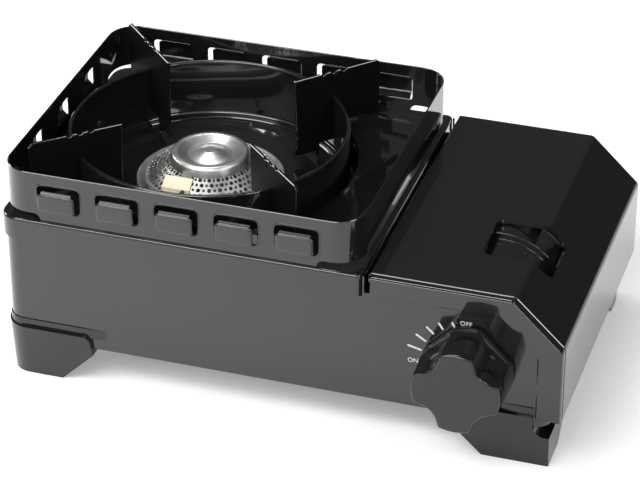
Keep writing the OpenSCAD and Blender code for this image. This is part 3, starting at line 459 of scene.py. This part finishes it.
# A line of corners (x, y, radius) with each corner of a radius replaced by its arc
def roundedLine(corners, steps=6):
    line = [np.array(c[:2], float) for c in corners]
    out = [line[0]]
    radii = [c[2] if len(c) > 2 else 0 for c in corners[1:-1]]
    for a, b, c, radius in zip(line, line[1:], line[2:], radii):
        before, after = (b - a) / np.linalg.norm(b - a), (c - b) / np.linalg.norm(c - b)
        turn = math.atan2(before[0] * after[1] - before[1] * after[0], float(before @ after))
        if radius == 0 or abs(turn) < 0.02:  # nearly straight on
            out.append(b)
            continue
        start = b - before * radius * math.tan(abs(turn) / 2)
        centre = start + math.copysign(radius, turn) * np.array([-before[1], before[0]])
        for angle in np.linspace(0, turn, steps + 1):
            spin = np.array([[math.cos(angle), -math.sin(angle)], [math.sin(angle), math.cos(angle)]])
            out.append(centre + spin @ (start - centre))
    return np.array(out + [line[-1]])


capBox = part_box("burner_cap")
cap = dict(axis=((capBox[0][0] + capBox[1][0]) / 2, (capBox[0][1] + capBox[1][1]) / 2), top=capBox[1][2],
           foot=(capBox[0][2] - capBox[1][2]) / mm, radius=20.0, rimIn=0.6, flare=1.2, wall=0.9,
           columns=192)


# Pressed cap: a closed profile of (radius, height, corner radius) in mm turned round the burner's axis, with
# a low dome, a groove round it, a rolled rim and a flared skirt
def pressedCap():
    r, wall = cap["radius"], cap["wall"]
    rim, skirt = r - cap["rimIn"], r + cap["flare"]
    outer = [(0, 0.0), (3.2, -0.05, 3), (8.8, -2.3, 2.5), (10.8, -2.9, 0.8), (11.8, -2.8, 0.8),
             (16.6, -0.2, 2.5), (rim, 0.0, 2.4), (skirt, cap["foot"])]
    inner = [(skirt - wall, cap["foot"]), (rim - wall, -wall, 1.5), (16.6, -1.1, 2), (11.8, -3.7, 0.6),
             (10.8, -3.8, 0.6), (8.8, -3.2, 2), (3.2, -0.95, 2), (0, -wall)]
    profile = np.vstack([roundedLine(outer), roundedLine(inner)]) * mm
    angle = np.linspace(0, 2 * math.pi, cap["columns"], endpoint=False)
    x = cap["axis"][0] + profile[:, :1] * np.cos(angle)
    y = cap["axis"][1] + profile[:, :1] * np.sin(angle)
    z = np.broadcast_to(cap["top"] + profile[:, 1:], x.shape)
    piece = gridPiece("pressedCap", np.stack([x, y, z], -1), "cap_steel", "body", wrapRows=True, sharp=50)
    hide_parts("burner_cap")


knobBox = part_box("knob")
knob = dict(axis=((knobBox[0][0] + knobBox[1][0]) / 2, (knobBox[0][2] + knobBox[1][2]) / 2),
            back=knobBox[1][1], length=(knobBox[1][1] - knobBox[0][1]) / mm, radius=22.5, faceRadius=21.7,
            base=4.4, chordAt=19.9, scoopAt=31.5, scoopRadius=14.0, blend=1.5, columns=480,
            hubRadius=6, hollowRadius=13.9, hollowDepth=11, edgeRound=0.5, faceRound=1.3)


# Knob: each row is (distance from the axis, depth from the back, how much of the grip's outline it takes).
# The grip's outline is the smooth minimum of the round radius and the near wall of four scoops on the
# diagonals; the base's outline is the round radius cut by a flat on each diagonal
def mouldedKnob():
    angle = np.linspace(0, 2 * math.pi, knob["columns"], endpoint=False)
    off = angle % (math.pi / 2) - math.pi / 4
    reach = knob["scoopRadius"] ** 2 - (knob["scoopAt"] * np.sin(off)) ** 2
    # where a scoop isn't reached, its wall is far outside
    scoop = np.where(reach > 0, knob["scoopAt"] * np.cos(off) - np.sqrt(np.clip(reach, 0, None)), 90.0)
    k = knob["blend"]
    gripLine = -np.log(np.exp(-k * knob["radius"]) + np.exp(-k * scoop)) / k
    baseLine = np.minimum(knob["radius"], knob["chordAt"] / np.cos(off))
    depth, base, r, face = knob["length"], knob["base"], knob["radius"], knob["faceRadius"]
    hub, hollow, deep = knob["hubRadius"], knob["hollowRadius"], knob["hollowDepth"]
    edge, faceRound = knob["edgeRound"], knob["faceRound"]
    taper = (r - face) / (depth - base)
    # hollow back, then the base's rounded rim, then the step in to the grip
    rows = [(0, 0, 0), (hub, 0, 0), (hub, deep, 0), (hollow, deep, 0), (hollow, 0, 0), (r - edge, 0, 0),
            (r, edge, 0), (r, base - edge, 0), (r - 0.12, base - 0.15, 0), (r - 0.45, base, 0),
            (r - 0.25, base + 0.02, 1), (r - 0.05, base + 0.3, 1)]
    rows += [(r - taper * d, base + d, 1) for d in np.linspace(1, depth - base - 1.6, 5)]
    rows += [(face - faceRound * (1 - math.cos(a)), depth - faceRound * (1 - math.sin(a)), 1)
             for a in np.linspace(0.1, math.pi / 2, 7)]
    rows += [((face - faceRound) * f, depth, 1) for f in (0.97, 0.75, 0.5, 0.25, 0.0)]
    rows = np.array(rows)
    inset = r - rows[:, :1]
    shrink = np.clip(rows[:, :1] / (face - faceRound), 0, 1)
    gripped = np.where(inset < r - face + faceRound + 0.01, gripLine - inset,
                       (gripLine - (r - face + faceRound)) * shrink)
    based = np.where(rows[:, :1] > 20, baseLine - inset, rows[:, :1])
    radius = np.where(rows[:, 2:] > 0, gripped, based) * mm
    x = knob["axis"][0] + radius * np.cos(angle)
    z = knob["axis"][1] + radius * np.sin(angle)
    y = np.broadcast_to(knob["back"] - rows[:, 1:2] * mm, x.shape)
    piece = gridPiece("mouldedKnob", np.stack([x, y, z], -1), "knob_plastic", "knob", sharp=35)
    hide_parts("knob")


# Section (across, out) in mm swept along a closed path: across runs to the path's side, out the given way
def beadAlong(name, path, outward, section, finishName, body):
    ahead = np.roll(path, -1, 0) - np.roll(path, 1, 0)
    ahead /= np.linalg.norm(ahead, axis=1, keepdims=True)
    side = np.cross(ahead, outward)
    across = section[None, :, :1] * side[:, None]
    out = section[None, :, 1:] * np.array(outward, float)
    return gridPiece(name, (path[:, None] + across + out) * mm, finishName, body, wrapRows=True, sharp=50)


# Closed rounded rectangle in x and z, by its centre, half sizes and corner radius
def roundedRectangle(x, z, halfX, halfZ, radius, steps=6):
    corners = [(halfX - radius, halfZ - radius), (radius - halfX, halfZ - radius),
               (radius - halfX, radius - halfZ), (halfX - radius, radius - halfZ)]
    line = []
    for quarter, (cx, cz) in enumerate(corners):
        for angle in np.linspace(0, math.pi / 2, steps + 1) + quarter * math.pi / 2:
            line.append((x + cx + radius * math.cos(angle), z + cz + radius * math.sin(angle)))
    return np.array(line)


# An outline in x and z, shrunk about its middle by each row's scale and moved along y by its depth, which
# runs backwards from the face
def stackedOutline(outline, middle, rows, face):
    scale = np.array([r[0] for r in rows])[:, None, None]
    flat = middle + (outline - middle) * scale
    y = np.broadcast_to(face + np.array([r[1] for r in rows])[:, None], flat.shape[:2])
    return np.stack([flat[..., 0], y, flat[..., 1]], -1)


# Five louvres along the front wall, in mm: window and its corner radius, wall's face, then the plate
louvre = dict(first=-109.7, pitch=30.3, count=5, window=(21.8, 13.9), midZ=103.25, radius=2.4, face=-69.8,
              plateHalf=9.5, plateFace=-73.8, head=107.6, crease=98.0, plateRound=1.6, inset=(0.25, 0.1),
              rimOut=0.5, rim=(0.55, 0.30), rimSides=12)
# Each ring of the pillow, from back to front: its scale and its depth behind the plate's face, so that a
# negative depth stands out of the plate
pillowRows = [(0.0, 0.55), (1.0, 0.55), (1.0, 0.0), (0.995, -0.25), (0.96, -0.5), (0.9, -0.62),
              (0.6, -0.72), (0.0, -0.75)]


# Each louvre's pressed rim round its window, and the shallow pillow on its plate
def louvreRims():
    ring = np.linspace(0, 2 * math.pi, louvre["rimSides"], endpoint=False)
    rim = np.stack([louvre["rim"][0] * np.cos(ring), louvre["rim"][1] * np.sin(ring)], -1)
    halfX, halfZ = (side / 2 + louvre["rimOut"] for side in louvre["window"])
    across = louvre["plateHalf"] - louvre["inset"][0]
    along = (louvre["head"] - louvre["crease"]) / 2 - louvre["inset"][1]
    plateZ = (louvre["head"] + louvre["crease"]) / 2
    for index in range(louvre["count"]):
        x = louvre["first"] + index * louvre["pitch"]
        flat = roundedRectangle(x, louvre["midZ"], halfX, halfZ, louvre["radius"] + louvre["rimOut"])
        path = np.stack([flat[:, 0], np.full(len(flat), louvre["face"]), flat[:, 1]], -1)
        beadAlong(f"louvreRim{index + 1}", path, (0, -1, 0), rim, "enamel", "body")
        outline = roundedRectangle(x, plateZ, across, along, louvre["plateRound"])
        points = stackedOutline(outline, np.array([x, plateZ]), pillowRows, louvre["plateFace"])
        gridPiece(f"louvrePillow{index + 1}", points * mm, "enamel", "body", sharp=50)


# Printed flame scale on the panel, in mm along x and z: each bar's two ends, and each word's middle
scaleBars = [((88.9, 72.0), (89.9, 70.1)), ((82.4, 70.5), (84.3, 67.7)), ((76.6, 67.2), (79.7, 64.3)),
             ((71.5, 62.1), (76.0, 59.3)), ((67.6, 55.3), (73.8, 53.8))]
scaleWords = [("OFF", 95.6, 72.6), ("ON", 70.0, 47.0)]
printed = dict(face=-70.1, thick=0.12, sunk=0.1, halfWide=0.5, letter=3.4, arcPoints=9)


# A flat bar with round ends, a tenth of a millimetre proud of the panel
def scaleBar(name, start, end):
    start, end = np.array(start), np.array(end)
    heading = math.atan2(*(end - start)[::-1])
    half = np.linspace(-math.pi / 2, math.pi / 2, printed["arcPoints"])
    turn = np.concatenate([half, half + math.pi]) + heading
    tip = np.repeat([end, start], printed["arcPoints"], 0)
    outline = tip + printed["halfWide"] * np.stack([np.cos(turn), np.sin(turn)], -1)
    sunk, proud = printed["sunk"], -printed["thick"]
    rows = [(0, sunk), (1, sunk), (1, proud), (0, proud)]
    points = stackedOutline(outline, (start + end) / 2, rows, printed["face"])
    gridPiece(name, points * mm, "print", "body")


# A word as a mesh: text lies in x and y facing z, and on the panel stands in x and z facing the front
def scaleWord(text, x, z):
    curve = bpy.data.curves.new("mark", "FONT")
    curve.body = text
    curve.size = printed["letter"] * mm
    curve.align_x, curve.align_y = "CENTER", "CENTER"
    curve.extrude = 0.5 * (printed["thick"] + printed["sunk"]) * mm
    holder = bpy.data.objects.new("mark", curve)
    scene.collection.objects.link(holder)
    bpy.context.view_layer.update()
    mesh = bpy.data.meshes.new_from_object(holder)
    bpy.data.objects.remove(holder)
    flat = np.empty(len(mesh.vertices) * 3)
    mesh.vertices.foreach_get("co", flat)
    flat = flat.reshape(-1, 3)
    placed = np.stack([flat[:, 0] + x * mm, printed["face"] * mm - flat[:, 2], flat[:, 1] + z * mm], -1)
    mesh.vertices.foreach_set("co", placed.reshape(-1))
    closeMesh(mesh, 1e-6)
    mesh.materials.clear()
    mesh.materials.append(finish["print"])
    piece = bpy.data.objects.new("scaleWord" + text.capitalize(), mesh)
    scene.collection.objects.link(piece)
    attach(piece, "body")


def printedScale():
    for index, (start, end) in enumerate(scaleBars):
        scaleBar(f"scaleBar{index + 1}", start, end)
    for word in scaleWords:
        scaleWord(*word)


pressedCap()
mouldedKnob()
louvreRims()
printedScale()
print("stage: cap, knob, louvres and scale")
